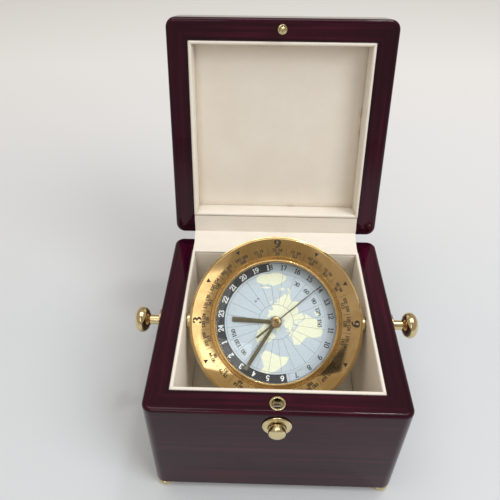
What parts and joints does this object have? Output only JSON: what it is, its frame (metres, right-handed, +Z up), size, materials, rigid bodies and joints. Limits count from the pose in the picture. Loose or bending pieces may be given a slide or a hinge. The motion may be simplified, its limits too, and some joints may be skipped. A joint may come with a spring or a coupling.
{
  "type": "ship's deck clock",
  "caption": "World-time clock head tilting on side trunnions inside a square lacquered box with a hinged lid, push-button catch and turned feet.",
  "frame": {"origin": "middle of the box's underside, 4 mm above the table that the feet stand on", "axes": "+Z up; -Y towards the front with the push button; +X to the right as seen from the front"},
  "size_m": [0.1734, 0.204, 0.2189],
  "materials": {
    "lacquer": "high-gloss burgundy lacquer, mirror-like clear coat with faint grain",
    "velvet": "matt black velour-covered panel",
    "lining": "cream leatherette, fine satin grain",
    "gold": "polished gold plate",
    "brass": "polished brass",
    "steel": "plain zinc-plated steel",
    "bronze": "dark bronze, satin",
    "glass": "clear flat mineral glass",
    "map_print": "pale blue-grey printed disc, satin",
    "ring_print": "half black and half pale printed ring, satin",
    "black_plastic": "black moulded plastic",
    "grey_plastic": "grey moulded plastic",
    "cell_wrap": "plain wrapped dry cell"
  },
  "bodies": {
    "box": {"box_shell": "lacquer", "box_bottom_panel": "velvet", "foot_1": "brass", "foot_2": "brass", "foot_3": "brass", "foot_4": "brass", "box_lining_floor": "lining", "box_lining_walls": "lining", "side_bush_left": "brass", "side_bush_right": "brass", "button_escutcheon": "brass", "catch_socket": "brass", "catch_spring": "steel", "hinge_box_leaf": "brass", "hinge_pin": "steel", "flap_box": "lining"},
    "lid": {"lid_shell": "lacquer", "lid_lining_walls": "lining", "lid_pad": "lining", "lid_stud": "brass", "hinge_lid_leaf": "brass", "flap_lid": "lining"},
    "release_button": {"button": "brass", "catch_plate": "steel"},
    "clock_head": {"bezel": "gold", "glass_ring": "gold", "glass": "glass", "drum_case": "brass", "back_cover": "brass", "cover_screw_1": "steel", "cover_screw_2": "steel", "cover_screw_3": "steel", "trunnion_boss_left": "brass", "trunnion_boss_right": "brass", "dial_plate": "grey_plastic", "map_disc": "map_print", "movement_case": "black_plastic", "centre_bush": "brass", "battery": "cell_wrap", "battery_contact_left": "steel", "battery_contact_right": "steel"},
    "day_ring": {"day_ring": "ring_print"},
    "hour_hand": {"hour_hand": "bronze"},
    "minute_hand": {"minute_hand": "bronze"},
    "second_hand": {"second_hand": "bronze", "hub_cap": "brass"},
    "set_knob": {"set_knob": "black_plastic"},
    "knob_left": {"knob_left": "brass"},
    "knob_right": {"knob_right": "brass"}
  },
  "joints": [
    {"name": "lid_hinge", "type": "hinge", "parent": "box", "child": "lid", "pos_m": [0, 0.0723, 0.0768], "axis": [1, 0, 0], "range_deg": [0, 103]},
    {"name": "clock_tilt", "type": "hinge", "parent": "box", "child": "clock_head", "pos_m": [0, 0, 0.0672], "axis": [1, 0, 0], "range_deg": [-42, 0]},
    {"name": "button_press", "type": "slide", "parent": "box", "child": "release_button", "axis": [0, 1, 0], "range_m": [0, 0.0016], "stiffness_N_per_m": 800, "springref_m": -0.001},
    {"name": "knob_left_turn", "type": "hinge", "parent": "box", "child": "knob_left", "pos_m": [0, 0, 0.0672], "axis": [-1, 0, 0], "continuous": true},
    {"name": "knob_right_turn", "type": "hinge", "parent": "box", "child": "knob_right", "pos_m": [0, 0, 0.0672], "axis": [1, 0, 0], "continuous": true},
    {"name": "second_hand_turn", "type": "hinge", "parent": "clock_head", "child": "second_hand", "pos_m": [0, 0, 0.0672], "axis": [0, 0.6691, -0.7431], "continuous": true},
    {"name": "minute_hand_turn", "type": "hinge", "parent": "clock_head", "child": "minute_hand", "pos_m": [0, 0, 0.0672], "axis": [0, 0.6691, -0.7431], "continuous": true},
    {"name": "hour_hand_turn", "type": "hinge", "parent": "clock_head", "child": "hour_hand", "pos_m": [0, 0, 0.0672], "axis": [0, 0.6691, -0.7431], "continuous": true},
    {"name": "day_ring_turn", "type": "hinge", "parent": "clock_head", "child": "day_ring", "pos_m": [0, 0, 0.0672], "axis": [0, 0.6691, -0.7431], "continuous": true},
    {"name": "set_knob_turn", "type": "hinge", "parent": "clock_head", "child": "set_knob", "pos_m": [0.012, -0.0104, 0.05783], "axis": [0, 0.6691, -0.7431], "continuous": true}
  ],
  "couplings": [
    {"joint": "clock_tilt", "follows": "lid_hinge", "ratio": -0.40777},
    {"joint": "minute_hand_turn", "follows": "second_hand_turn", "ratio": 0.016667},
    {"joint": "hour_hand_turn", "follows": "second_hand_turn", "ratio": 0.0013889},
    {"joint": "day_ring_turn", "follows": "second_hand_turn", "ratio": 0.00069444},
    {"joint": "set_knob_turn", "follows": "second_hand_turn", "ratio": -0.0055556}
  ]
}
